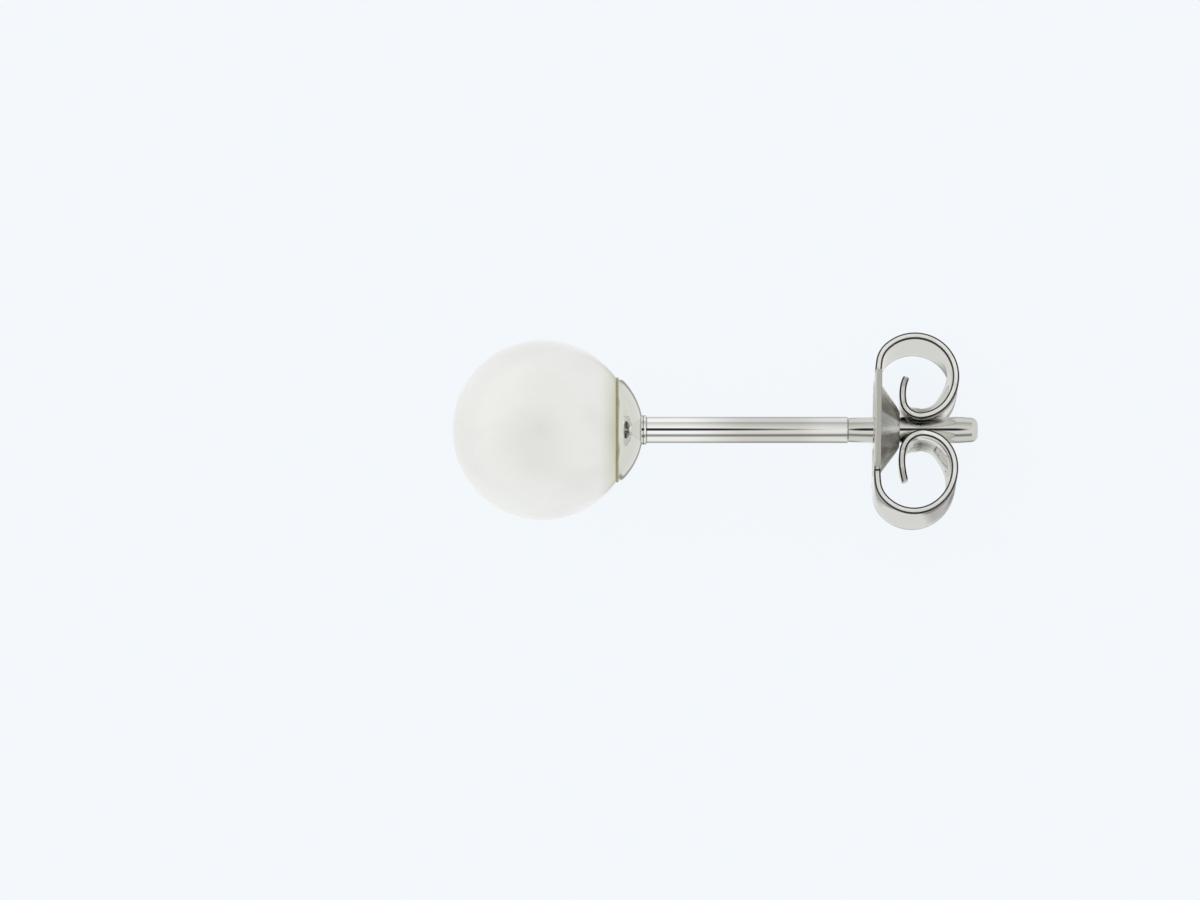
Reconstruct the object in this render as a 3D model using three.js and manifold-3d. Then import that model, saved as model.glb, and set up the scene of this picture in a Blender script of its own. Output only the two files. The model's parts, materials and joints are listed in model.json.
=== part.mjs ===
// A pearl stud earring as it lies on a table. A round pearl sits on a hidden peg in a shallow cup,
// a notched post is soldered to the cup's back, and a butterfly clutch bent from one piece of sheet
// metal is pushed on the post.
//
// Millimetres, +Z up, and the table is at Z = 0. The post points along +X, from the pearl to its
// tip, and the clutch's two scrolls lie to +Y and -Y. The stud rests on the pearl and on the lower
// edge of the clutch's plate, so the post dips a little towards its tip.

import * as THREE from "three";
import { mergeVertices } from "three/addons/utils/BufferGeometryUtils.js";
import Module from "manifold-3d";

// Pearl
const PEARL_DIAMETER = 6.0;

// Cup that the pearl is cemented in, and the peg in the pearl's drilled hole
const CEMENT_GAP = 0.03;
const CUP_RIM_DIAMETER = 3.48;
const CUP_RIM_EDGE = 0.03; // flat front edge of the rim
const CUP_RIM_BAND = 0.15; // straight outer band behind the rim's edge
const CUP_BACK_THICKNESS = 0.35; // behind the pearl, on the axis
const PEG_DIAMETER = 0.75;
const PEG_LENGTH = 2.2; // from the cup's hollow into the pearl
const PEG_CHAMFER = 0.12;
const DRILL_POINT_HEIGHT = 0.25;

// Post
const POST_DIAMETER = 0.87;
const POST_LENGTH = 11.15; // from the cup's back to the tip
const COLLAR_DIAMETER = 0.95; // solder collar at the cup
const COLLAR_LENGTH = 0.1;
const COLLAR_FILLET = 0.02;
const NOTCH_FROM_TIP = 4.34; // the notch's steep side
const NOTCH_LENGTH = 0.82;
const NOTCH_DEPTH = 0.035;
const NOTCH_STEP = 0.03; // length of its steep side
const TIP_TAPER_LENGTH = 0.62;
const TIP_TAPER = 0.045; // taken off the radius along that length
const TIP_ROUND = 0.22;

// Butterfly clutch
const CLUTCH_FROM_TIP = 3.47; // from the plate's front face to the post's tip
const SHEET_THICKNESS = 0.22;
const PLATE_WIDTH = 5.0; // across the scrolls, so this edge stands on the table
const PLATE_CORNER_RADIUS = 0.12;
const WING_WIDTH = 3.4;
const LOOP_DIAMETER = 2.94; // outside of each scroll
const GRIP_GAP = 0.36; // between the two scrolls' flat sides
const POST_CLEARANCE = 0.035; // round the post, in the bore and in the grooves
const GROOVE_HALF_WIDTH = 0.75;
const GROOVE_SPARE_DEPTH = 1.08; // the pressed groove is this much deeper than the post needs
const GROOVE_FADE_DEGREES = 75; // each way along the scroll from where it grips the post
const BOSS_HEIGHT = 0.62; // stands behind the plate's back face
const BOSS_BASE_DIAMETER = 3.0;
const BOSS_SHOULDER_DIAMETER = 1.8;
const BOSS_SHOULDER_HEIGHT = 0.48;
const BOSS_NECK_WALL = 0.11;
const BOSS_WALL = 0.18;
const CLUTCH_LEAN = 0.9; // degrees askew on the post, about where its wings grip

// The bends of one scroll, from the plate's edge to the free end: degrees turned, and the radius of
// the sheet's middle as a share of the loop's.
const SCROLL_BENDS = [
  { name: "rise", turn: 8, radius: 2.1, steps: 2 },
  { name: "shoulder", turn: 38, radius: 0.61, steps: 5 },
  { name: "loop", turn: 170, radius: 1.0, steps: 20 },
  { name: "closing", turn: 50, radius: 0.8, steps: 7 },
  { name: "hook", turn: 84, radius: 0.455, steps: 10 },
  { name: "free end", turn: 32, radius: 1.27, steps: 7 },
];

// Width of a wing along its bends: share of the whole turn, and share of the wing's full width.
const WING_TAPER = [
  { along: 0.0, width: 1.0 },
  { along: 0.5, width: 1.0 },
  { along: 0.71, width: 0.73 },
  { along: 0.9, width: 0.5 },
  { along: 0.97, width: 0.37 },
  { along: 1.0, width: 0.14 },
];

// Where the columns of a wing lie across its half width. Those nearer the middle draw the groove.
const WING_COLUMNS = [0, 0.14, 0.28, 0.42, 0.6, 1];

// Fineness of the round shapes
const PEARL_SIDES = 48;
const PEARL_BANDS = 24;
const METAL_SIDES = 40;
const CUP_STEPS = 8;
const TIP_STEPS = 5;
const CORNER_STEPS = 5;

const pearlRadius = PEARL_DIAMETER / 2;
const hollowRadius = pearlRadius + CEMENT_GAP;
const pegRadius = PEG_DIAMETER / 2;
const postRadius = POST_DIAMETER / 2;
const cupBack = pearlRadius + CUP_BACK_THICKNESS;
const postTip = cupBack + POST_LENGTH;
const clutchFront = postTip - CLUTCH_FROM_TIP;
const boreRadius = postRadius + POST_CLEARANCE;

const wasm = await Module();
wasm.setup();

const degrees = THREE.MathUtils.degToRad;

// Where a circle about the origin has this half height.
function along(radius, halfHeight) {
  return Math.sqrt(radius * radius - halfHeight * halfHeight);
}

// Points of an arc about (centre, 0), between two angles from the axis.
function arc(centre, radius, from, to, steps) {
  const points = [];
  for (let i = 0; i <= steps; i++) {
    const angle = from + ((to - from) * i) / steps;
    points.push([centre + radius * Math.cos(angle), radius * Math.sin(angle)]);
  }
  return points;
}

// A solid of revolution about the X axis, from [x, radius] points that run towards +X on the outside.
function turned(profile, sides) {
  const points = profile.map(([x, radius]) => new THREE.Vector2(Math.max(radius, 0), x));
  return new THREE.LatheGeometry(points, sides).rotateZ(-Math.PI / 2);
}

function solidOf(geometry) {
  const bare = geometry.clone();
  bare.deleteAttribute("normal");
  bare.deleteAttribute("uv");
  const merged = mergeVertices(bare, 1e-5);
  return new wasm.Manifold(
    new wasm.Mesh({
      numProp: 3,
      vertProperties: merged.attributes.position.array,
      triVerts: new Uint32Array(merged.index.array),
    }),
  );
}

function geometryOf(solid) {
  const mesh = solid.getMesh();
  const stride = mesh.numProp;
  const positions = new Float32Array(mesh.numVert * 3);
  for (let i = 0; i < mesh.numVert; i++) {
    positions.set(mesh.vertProperties.subarray(i * stride, i * stride + 3), i * 3);
  }
  const geometry = new THREE.BufferGeometry();
  geometry.setAttribute("position", new THREE.BufferAttribute(positions, 3));
  geometry.setIndex(new THREE.BufferAttribute(new Uint32Array(mesh.triVerts), 1));
  geometry.computeVertexNormals();
  return geometry;
}

// The pearl: a sphere with a blind drilled hole that opens towards the cup.
function pearlGeometry() {
  const holeRadius = pegRadius + CEMENT_GAP;
  const holeMouth = Math.asin(holeRadius / pearlRadius);
  const holeEnd = along(hollowRadius, pegRadius) - PEG_LENGTH - CEMENT_GAP;
  const outside = arc(0, pearlRadius, Math.PI, holeMouth, PEARL_BANDS);
  return turned(
    [...outside, [holeEnd, holeRadius], [holeEnd - DRILL_POINT_HEIGHT, 0]],
    PEARL_SIDES,
  );
}

// Cup, peg, collar and post, soldered into one piece.
function settingGeometry() {
  const rimRadius = CUP_RIM_DIAMETER / 2;
  const hollowMouth = rimRadius - CUP_RIM_EDGE;
  const pegRoot = along(hollowRadius, pegRadius);
  const pegTip = pegRoot - PEG_LENGTH;
  const rimFront = along(hollowRadius, hollowMouth);
  const bandBack = rimFront + CUP_RIM_BAND;
  const backDepth = cupBack - bandBack;
  const backRadius = (backDepth * backDepth + rimRadius * rimRadius) / (2 * backDepth);
  const backCentre = cupBack - backRadius;
  const collarRadius = COLLAR_DIAMETER / 2;
  const collarEnd = cupBack + COLLAR_LENGTH;
  const notchStart = postTip - NOTCH_FROM_TIP;
  const notchFloor = postRadius - NOTCH_DEPTH;
  const tipRadius = postRadius - TIP_TAPER;

  const peg = [
    [pegTip, 0],
    [pegTip, pegRadius - PEG_CHAMFER],
    [pegTip + PEG_CHAMFER, pegRadius],
  ];
  const hollow = arc(
    0,
    hollowRadius,
    Math.asin(pegRadius / hollowRadius),
    Math.asin(hollowMouth / hollowRadius),
    CUP_STEPS,
  );
  const back = arc(
    backCentre,
    backRadius,
    Math.asin(rimRadius / backRadius),
    Math.asin(collarRadius / backRadius),
    CUP_STEPS,
  );
  const collar = [
    [collarEnd - COLLAR_FILLET, collarRadius],
    [collarEnd, collarRadius - COLLAR_FILLET],
    [collarEnd, postRadius],
  ];
  const notch = [
    [notchStart, postRadius],
    [notchStart + NOTCH_STEP, notchFloor],
    [notchStart + NOTCH_LENGTH, postRadius],
  ];
  const rounding = arc(postTip - TIP_ROUND, TIP_ROUND, Math.PI / 2, 0, TIP_STEPS).map(
    ([x, radius]) => [x, radius + tipRadius - TIP_ROUND],
  );
  const tip = [[postTip - TIP_TAPER_LENGTH, postRadius], ...rounding, [postTip, 0]];
  return turned(
    [...peg, ...hollow, [rimFront, rimRadius], ...back, ...collar, ...notch, ...tip],
    METAL_SIDES,
  );
}

// The middle of a wing's sheet seen from the side, as sections that start at (SHEET_THICKNESS / 2, 0)
// and bend towards +X. Each has its place, its inward direction and how far it has turned.
function scrollSections() {
  const loopRadius = (LOOP_DIAMETER - SHEET_THICKNESS) / 2;
  const sections = [];
  let x = SHEET_THICKNESS / 2;
  let y = 0;
  let bent = 0;
  for (const bend of SCROLL_BENDS) {
    const radius = loopRadius * bend.radius;
    const centreX = x + radius * Math.cos(degrees(bent));
    const centreY = y - radius * Math.sin(degrees(bent));
    for (let step = sections.length ? 1 : 0; step <= bend.steps; step++) {
      const angle = degrees(bent + (bend.turn * step) / bend.steps);
      sections.push({
        x: centreX - radius * Math.cos(angle),
        y: centreY + radius * Math.sin(angle),
        inX: Math.cos(angle),
        inY: -Math.sin(angle),
        angle,
      });
    }
    ({ x, y } = sections[sections.length - 1]);
    bent += bend.turn;
  }
  return sections;
}

const scroll = scrollSections();
const gripAngle = degrees(270); // here the scroll runs along the post
const scrollEnd = scroll[scroll.length - 1].angle;
const gripSection = scroll.reduce((a, b) => (a.y < b.y ? a : b));

// Height above the post's axis at which the wings leave the plate, so that the scrolls' flat sides
// end up half the grip's gap from the axis.
const wingRoot = (GRIP_GAP + SHEET_THICKNESS) / 2 - gripSection.y;

function wingWidthShare(section) {
  const share = section.angle / scrollEnd;
  const next = Math.max(1, WING_TAPER.findIndex((row) => row.along >= share));
  const a = WING_TAPER[next - 1];
  const b = WING_TAPER[next];
  return THREE.MathUtils.mapLinear(share, a.along, b.along, a.width, b.width);
}

// How far the groove that the post runs in is pressed into the loop, at a place across the wing.
function grooveDepth(section, across) {
  const depth = (boreRadius - GRIP_GAP / 2) * GROOVE_SPARE_DEPTH;
  const away = Math.abs(section.angle - gripAngle) / degrees(GROOVE_FADE_DEGREES);
  const aside = Math.abs(across) / GROOVE_HALF_WIDTH;
  if (away >= 1 || aside >= 1) return 0;
  return depth * Math.cos((away * Math.PI) / 2) ** 2 * Math.cos((aside * Math.PI) / 2) ** 2;
}

// One wing: the sheet swept through the scroll's sections, from inside the plate to the free end.
function wingGeometry() {
  const columns = [...WING_COLUMNS.slice(1).reverse().map((share) => -share), ...WING_COLUMNS];
  const buried = { ...scroll[0], y: -wingRoot / 4 };
  const sections = [buried, ...scroll];
  const positions = [];
  for (const section of sections) {
    const halfWidth = (WING_WIDTH / 2) * wingWidthShare(section);
    for (const side of [-1, 1]) {
      for (const column of columns) {
        const z = column * halfWidth;
        const inward = (side * SHEET_THICKNESS) / 2 + grooveDepth(section, z);
        positions.push(section.x + section.inX * inward, wingRoot + section.y + section.inY * inward, z);
      }
    }
  }

  const count = columns.length;
  const ringSize = 2 * count;
  const ring = [];
  for (let i = 0; i < count; i++) ring.push(i);
  for (let i = count - 1; i >= 0; i--) ring.push(count + i);
  const indices = [];
  for (let row = 0; row < sections.length - 1; row++) {
    for (let i = 0; i < ringSize; i++) {
      const a = row * ringSize + ring[i];
      const b = row * ringSize + ring[(i + 1) % ringSize];
      const c = a + ringSize;
      const d = b + ringSize;
      indices.push(a, b, d, a, d, c);
    }
  }
  const last = (sections.length - 1) * ringSize;
  for (let i = 0; i < count - 1; i++) {
    indices.push(i, count + i, count + i + 1, i, count + i + 1, i + 1);
    indices.push(last + i, last + count + i + 1, last + count + i);
    indices.push(last + i, last + i + 1, last + count + i + 1);
  }
  const geometry = new THREE.BufferGeometry();
  geometry.setAttribute("position", new THREE.Float32BufferAttribute(positions, 3));
  geometry.setIndex(indices);
  return geometry;
}

// The plate behind the ear, before its boss and bore: a rectangle with rounded corners.
function plateGeometry() {
  const halfWidth = PLATE_WIDTH / 2;
  const r = PLATE_CORNER_RADIUS;
  const outline = new THREE.Shape();
  outline.moveTo(-halfWidth + r, -wingRoot);
  outline.lineTo(halfWidth - r, -wingRoot);
  outline.absarc(halfWidth - r, -wingRoot + r, r, -Math.PI / 2, 0, false);
  outline.lineTo(halfWidth, wingRoot - r);
  outline.absarc(halfWidth - r, wingRoot - r, r, 0, Math.PI / 2, false);
  outline.lineTo(-halfWidth + r, wingRoot);
  outline.absarc(-halfWidth + r, wingRoot - r, r, Math.PI / 2, Math.PI, false);
  outline.lineTo(-halfWidth, -wingRoot + r);
  outline.absarc(-halfWidth + r, -wingRoot + r, r, Math.PI, Math.PI * 1.5, false);
  return new THREE.ExtrudeGeometry(outline, {
    depth: SHEET_THICKNESS,
    bevelEnabled: false,
    curveSegments: CORNER_STEPS,
  }).rotateY(Math.PI / 2);
}

// The boss drawn out of the plate's back, and the funnel and bore inside it.
function bossGeometries() {
  const baseRadius = BOSS_BASE_DIAMETER / 2;
  const shoulderRadius = BOSS_SHOULDER_DIAMETER / 2;
  const neckRadius = boreRadius + BOSS_NECK_WALL;
  const top = SHEET_THICKNESS + BOSS_HEIGHT;
  const shoulder = SHEET_THICKNESS + BOSS_SHOULDER_HEIGHT;
  const slope = (baseRadius - shoulderRadius) / BOSS_SHOULDER_HEIGHT;
  const middle = SHEET_THICKNESS / 2;
  const outside = turned(
    [
      [middle, 0],
      [middle, baseRadius],
      [SHEET_THICKNESS, baseRadius],
      [shoulder, shoulderRadius],
      [(shoulder + 2 * top) / 3, (shoulderRadius + neckRadius) / 2],
      [top, neckRadius],
      [top, 0],
    ],
    METAL_SIDES,
  );
  // The funnel's wall is the boss's outer slope moved in by the thickness of the wall.
  const shift = BOSS_WALL * Math.hypot(1, slope);
  const funnelRadius = (x) => baseRadius - slope * (x - SHEET_THICKNESS) - shift;
  const funnelEnd = SHEET_THICKNESS + (baseRadius - shift - boreRadius) / slope;
  const beyond = SHEET_THICKNESS;
  const inside = turned(
    [
      [-beyond, 0],
      [-beyond, funnelRadius(-beyond)],
      [funnelEnd, boreRadius],
      [top + beyond, boreRadius],
      [top + beyond, 0],
    ],
    METAL_SIDES,
  );
  return { outside, inside };
}

function clutchGeometry() {
  const wing = wingGeometry();
  const opposite = wing.clone().rotateX(Math.PI);
  const boss = bossGeometries();
  const sheet = solidOf(plateGeometry())
    .add(solidOf(wing))
    .add(solidOf(opposite))
    .add(solidOf(boss.outside));
  return geometryOf(sheet.subtract(solidOf(boss.inside)));
}

// Tilt about Y at which the pearl and the lower back edge of the clutch's plate touch one floor.
function restingTilt() {
  const reach = clutchFront + SHEET_THICKNESS;
  const halfWidth = PLATE_WIDTH / 2;
  return Math.asin(pearlRadius / Math.hypot(reach, halfWidth)) - Math.atan2(halfWidth, reach);
}

const nacre = new THREE.MeshStandardMaterial({ color: 0xe9e8e2, roughness: 0.25, metalness: 0 });
const silver = new THREE.MeshStandardMaterial({ color: 0xd4d4d2, roughness: 0.12, metalness: 1 });

function named(name, geometry, material) {
  const mesh = new THREE.Mesh(geometry, material);
  mesh.name = name;
  return mesh;
}

const pearl = named("pearl", pearlGeometry(), nacre);
const setting = named("cup_and_post", settingGeometry(), silver);
const clutch = named("butterfly_clutch", clutchGeometry(), silver.clone());
clutch.position.x = -gripSection.x;

const grip = new THREE.Group();
grip.add(clutch);
grip.position.x = clutchFront + gripSection.x;
grip.rotation.z = -degrees(CLUTCH_LEAN);

const earring = new THREE.Group();
earring.add(pearl, setting, grip);
earring.rotation.y = restingTilt();

// The frame's origin is under the middle of the earring, on the table.
const bounds = new THREE.Box3().setFromObject(earring, true);
const middle = bounds.getCenter(new THREE.Vector3());
earring.position.set(-middle.x, -middle.y, -bounds.min.z);

export default earring;
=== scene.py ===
"""A pearl stud earring lying on a pale table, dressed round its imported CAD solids.

Every shape is drawn in millimetres in the stud's own frame, where the post runs along X from the
pearl's centre, and is then laid where the CAD stud lies.
"""

import json
import math
from types import SimpleNamespace

import bmesh
import bpy
from bpy.props import FloatProperty, FloatVectorProperty, PointerProperty
from mathutils import Matrix, Vector


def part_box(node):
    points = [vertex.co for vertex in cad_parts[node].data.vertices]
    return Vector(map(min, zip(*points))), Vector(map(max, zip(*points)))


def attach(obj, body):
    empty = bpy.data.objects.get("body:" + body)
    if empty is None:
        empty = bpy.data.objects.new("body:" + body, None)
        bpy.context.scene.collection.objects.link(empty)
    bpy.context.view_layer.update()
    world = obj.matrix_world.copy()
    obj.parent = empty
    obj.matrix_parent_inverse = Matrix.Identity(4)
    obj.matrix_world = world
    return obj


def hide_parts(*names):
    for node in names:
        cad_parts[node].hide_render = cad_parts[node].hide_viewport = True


bl_info = {
    "name": "Pearl stud earring",
    "version": (1, 0, 0),
    "blender": (4, 5, 0),
    "location": "3D View > Sidebar > Earring",
    "description": "Makes a pearl stud earring with its cup, notched post and butterfly clutch",
    "category": "Add Mesh",
}

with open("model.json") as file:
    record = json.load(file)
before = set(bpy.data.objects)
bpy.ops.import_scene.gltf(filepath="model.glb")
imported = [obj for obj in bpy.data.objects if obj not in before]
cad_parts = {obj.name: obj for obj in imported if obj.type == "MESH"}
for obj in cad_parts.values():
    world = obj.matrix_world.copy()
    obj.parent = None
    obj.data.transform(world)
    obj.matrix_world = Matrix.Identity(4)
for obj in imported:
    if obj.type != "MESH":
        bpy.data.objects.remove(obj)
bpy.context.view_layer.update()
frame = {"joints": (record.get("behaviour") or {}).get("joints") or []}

MM = 0.001

# Points that lie nearer than this, in millimetres, count as one.
WELD = 1e-4

FULL_TURN = math.tau
SMOOTH_ANGLE = math.radians(32)

# Sides of the turned pieces, and steps along the pearl's curve
PEARL_SIDES = 128
PEARL_STEPS = 96
POST_SIDES = 96

# The bends of one scroll, from the plate's edge to the free end: degrees turned, and the radius of
# the sheet's middle as a share of the loop's.
SCROLL_BENDS = (
    (8, 2.1),
    (38, 0.61),
    (170, 1.0),
    (50, 0.8),
    (84, 0.455),
    (32, 1.27),
)

# Width of a wing along its bends: share of the whole turn, and share of the wing's full width.
WING_TAPER = ((0.0, 1.0), (0.5, 1.0), (0.71, 0.73), (0.9, 0.5), (0.97, 0.37), (1.0, 0.14))

# Where the columns of a wing lie across its half width. They crowd where the groove is pressed in.
WING_COLUMNS = (0.0, 0.08, 0.16, 0.24, 0.32, 0.42, 0.62, 1.0)

# Degrees of bend at which a scroll touches the post. Before and after that place the groove is even
# for so many degrees, and fades out over the next ones. It is pressed a little deeper than the bore.
GRIP_TURN = 270
GROOVE_EVEN = (55, 20)
GROOVE_FADE = (85, 75)
GROOVE_SPARE = 1.08

# Degrees of bend from one row of a scroll to the next
SCROLL_STEP = 3

# Material slots of the clutch's sheet. The shear corners' slot is painted near black as a dark reflection.
FACE, CUT, PAINTED_DARK_CORNER, DRAWN = range(4)

# Share of a wing's half width, kept at each point of the sheet
BORDER = "border"

# Tones that the finishes shade towards
HANDLING_HAZE = (0.78, 0.77, 0.70, 1.0)
JOINT_LINE = (0.16, 0.155, 0.14, 1.0)
SHEET_HAZE = (0.76, 0.75, 0.69, 1.0)
SHEET_GLANCE = (0.76, 0.765, 0.755, 1.0)
# A painted highlight along the middle of the boss
BOSS_PAINTED_HIGHLIGHT = (0.95, 0.945, 0.92, 1.0)
PLAIN_EDGE = (0.42, 0.415, 0.38, 1.0)
DRY_CEMENT = (0.42, 0.37, 0.22, 1.0)

# Strengths of the table, the backdrop and the tent, and the way to the tent's window
TABLE_GLOW = 0.94
TABLE_IN_MIRRORS = 0.92
BACKDROP_GLOW = 0.98
TENT_IN_MIRRORS = 1.04
WINDOW_AT = (-0.81, 0.56, 0.176)

# Painted dark reflections on the nacre, laid as clouds: the middle in millimetres in the stud's frame,
# how far out the cloud is even and how far out it ends, and its strength.
PAINTED_DARK_REFLECTIONS = (
    ((-0.3, -0.8, 2.8), 0.2, 1.7, 0.75),
    ((-3.1, -0.3, 0.4), 0.4, 2.1, 0.7),
)


def length(name, description, millimetres):
    return FloatProperty(
        name=name,
        description=description,
        default=millimetres * MM,
        min=0.0,
        precision=5,
        unit="LENGTH",
    )


def colour(name, description, red, green, blue):
    return FloatVectorProperty(
        name=name,
        description=description,
        default=(red, green, blue),
        min=0.0,
        max=1.0,
        subtype="COLOR",
    )


def share(name, description, default):
    return FloatProperty(
        name=name,
        description=description,
        default=default,
        min=0.0,
        max=1.0,
        subtype="FACTOR",
    )


class PearlSettings(bpy.types.PropertyGroup):
    """Sizes and colours of the pearl."""

    diameter: length("Diameter", "Across the pearl", 6.0)
    hole_diameter: length("Hole", "Across the drilled hole", 0.81)
    hole_end: length("Hole's end", "From the pearl's centre to the hole's end", 0.777)
    drill_point: length("Drill point", "Height of the cone that the drill leaves", 0.25)
    body: colour("Body", "Colour of the nacre", 0.795, 0.80, 0.772)
    overtone: colour("Overtone", "Colour that drifts over the nacre", 0.80, 0.785, 0.785)
    # Also the tone of the painted dark reflections on the nacre
    cloud: colour("Cloud", "Colour of faint clouds in the nacre", 0.725, 0.725, 0.695)
    # Painted warm shade beside the cup, and also the tone of the nacre's grain
    shade: colour("Shade", "Colour of the nacre beside the cup", 0.58, 0.58, 0.45)
    gloss: share("Gloss", "Strength of the clear lustre on the nacre", 0.5)


class SettingSettings(bpy.types.PropertyGroup):
    """Sizes and colour of the cup, the peg and the post."""

    cement_gap: length("Cement", "Thickness of the cement in the cup", 0.03)
    cement_bead: length("Cement bead", "Radius of the bead of cement at the rim", 0.048)
    bead_forward: length("Bead's place", "From the rim's front edge forward to the bead", 0.008)
    rim_diameter: length("Rim", "Across the cup's rim", 3.44)
    rim_edge: length("Rim edge", "Thickness of the rim's front edge", 0.03)
    rim_band: length("Rim band", "Band behind the rim's edge", 0.15)
    band_slope: length("Band's slope", "Taken off the cup's radius along the band", 0.045)
    rim_round: length("Rim's rounding", "Rounding of the rim's edge", 0.012)
    band_round: length("Band's rounding", "Rounding between the rim band and the cup's back", 0.05)
    back_thickness: length("Cup's back", "Metal behind the pearl on the axis", 0.35)
    peg_diameter: length("Peg", "Across the peg in the pearl", 0.75)
    peg_length: length("Peg's length", "From the cup's hollow into the pearl", 2.2)
    peg_chamfer: length("Peg's chamfer", "Chamfer at the peg's end", 0.12)
    post_diameter: length("Post", "Across the post", 0.87)
    post_length: length("Post's length", "From the cup's back to the tip", 11.15)
    collar_diameter: length("Collar", "Across the solder collar", 0.97)
    collar_length: length("Collar's length", "Length of the solder collar", 0.1)
    collar_round: length("Collar's rounding", "Rounding of the collar's edge", 0.02)
    notch_from_tip: length("Notch's place", "From the notch's steep side to the tip", 4.34)
    notch_length: length("Notch's length", "Length of the notch", 0.82)
    notch_depth: length("Notch's depth", "Depth of the notch", 0.035)
    notch_step: length("Notch's step", "Length of the notch's steep side", 0.03)
    notch_round: length("Notch's rounding", "Rounding of the notch's steep side", 0.008)
    notch_ease: length("Notch's end", "Rounding where the notch runs out", 0.05)
    taper_length: length("Taper's length", "Length of the tapered tip", 0.62)
    taper: length("Taper", "Taken off the post's radius at the tip", 0.045)
    taper_round: length("Taper's rounding", "Rounding where the taper starts", 0.15)
    tip_round: length("Tip's rounding", "Rounding of the tip's edge", 0.22)
    metal: colour("Metal", "Colour of the polished metal", 0.90, 0.898, 0.885)
    cup_haze: colour("Cup's haze", "Colour of the cup, which the polish reaches less", 0.69, 0.705, 0.655)
    handled: colour("Handled metal", "Colour of the post where it is handled most", 0.62, 0.615, 0.59)
    cement: colour("Cement", "Colour of the cement at the rim", 0.30, 0.25, 0.13)


class ClutchSettings(bpy.types.PropertyGroup):
    """Sizes and colours of the butterfly clutch."""

    from_tip: length("Place", "From the plate's front to the post's tip", 3.47)
    sheet: length("Sheet", "Thickness of the sheet metal", 0.22)
    plate_width: length("Plate", "Across the plate, along the scrolls", 5.0)
    corner: length("Corner", "Rounding of the plate's corners", 0.12)
    wing_width: length("Wing", "Width of a wing where it leaves the plate", 3.4)
    loop_diameter: length("Loop", "Across the outside of a scroll", 2.94)
    grip_gap: length("Grip", "Between the two scrolls", 0.36)
    clearance: length("Clearance", "Round the post in bore and grooves", 0.035)
    groove_half_width: length("Groove", "Half of the groove's width", 0.75)
    boss_base: length("Boss's base", "Across the boss at the plate", 3.02)
    boss_shoulder: length("Boss's shoulder", "Across the boss at its shoulder", 1.3)
    boss_shoulder_height: length("Shoulder's height", "From the sheet's middle to the shoulder", 0.63)
    boss_height: length("Boss's height", "From the sheet's middle to the neck's end", 0.73)
    boss_round: length("Boss's rounding", "Rounding at the boss's base and shoulder", 0.08)
    boss_apron: length("Boss's apron", "Flat sheet kept round the boss's base", 0.1)
    boss_wall: length("Boss's wall", "Thickness of the boss's wall", 0.18)
    neck_wall: length("Neck's wall", "Thickness of the neck's wall", 0.11)
    edge_round: length("Edge", "Rounding of the cut edges", 0.055)
    lean: FloatProperty(
        name="Lean",
        description="How far askew the clutch sits on the post",
        default=math.radians(0.9),
        subtype="ANGLE",
    )
    lower_longer: share("Lower scroll", "How much further the lower scroll reaches", 0.085)
    metal: colour("Metal", "Colour of the sheet's faces", 0.81, 0.815, 0.80)
    cut: colour("Cut edges", "Colour of the sheet's sheared edges", 0.80, 0.795, 0.775)
    # A near-black tone, painted as a dark reflection on the shear corners, the wings' borders and the
    # boss's flanks
    corner_metal: colour("Edge corners", "Colour of the corners that the shear leaves", 0.055, 0.053, 0.048)
    drawn: colour("Boss", "Colour of the boss, which the polish doesn't reach", 0.62, 0.605, 0.54)
    # Painted shade on the sheet beside the post
    dull: colour("Dull grip", "Colour of the sheet where it rubs on the post", 0.2, 0.19, 0.17)


class StudioSettings(bpy.types.PropertyGroup):
    """The table, the light tent and the camera."""

    table: colour("Table", "Colour of the lit table", 0.905, 0.945, 0.982)
    tent_light: FloatProperty(
        name="Tent's light",
        description="Strength of the soft light that falls on the pearl",
        default=1.0,
        min=0.0,
    )
    table_light: FloatProperty(
        name="Table's light",
        description="Strength that the table's glow gains where it lights the pearl",
        default=0.2,
        min=0.0,
    )
    table_reach: FloatProperty(
        name="Table's reach",
        description="From the middle of the table to its edge",
        default=1.5,
        unit="LENGTH",
    )
    looks_down: FloatProperty(
        name="Camera's lean",
        description="How far the camera leans from straight above, seen along the post",
        default=math.radians(9.6),
        subtype="ANGLE",
    )
    lens_offset: FloatProperty(
        name="Dark lens",
        description="How far from the camera's middle the dark spot of its lens lies",
        default=math.radians(4.5),
        subtype="ANGLE",
    )
    distance: length("Distance", "From the camera to the earring", 410)
    view_width: length("View's width", "Width of the view at the earring", 40)
    aim_along: length("Aim along", "From the pearl's centre to the view's middle, along the post", 1.91333)
    aim_below: length("Aim below", "From the pearl's centre down to the view's middle", 0.66667)


SETTINGS = {
    "earring_pearl": PearlSettings,
    "earring_setting": SettingSettings,
    "earring_clutch": ClutchSettings,
    "earring_studio": StudioSettings,
}


def in_millimetres(settings):
    """The lengths of a settings group as plain numbers in millimetres."""
    lengths = [p for p in settings.bl_rna.properties if p.type == "FLOAT" and p.unit == "LENGTH"]
    return SimpleNamespace(**{p.identifier: getattr(settings, p.identifier) / MM for p in lengths})


def resting_tilt():
    """How far the post dips, read from the way the clutch slides along it."""
    slide = frame["joints"][0]["axis"]
    return math.atan2(-slide[2], slide[0])


def pearl_radius():
    """The pearl's radius in millimetres."""
    return bpy.context.scene.earring_pearl.diameter / 2 / MM


def pearl_centre():
    """Where the middle of the CAD pearl lies, in metres."""
    radius = bpy.context.scene.earring_pearl.diameter / 2
    low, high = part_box("pearl")
    return Vector((low.x + radius, 0, high.z - radius))


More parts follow.
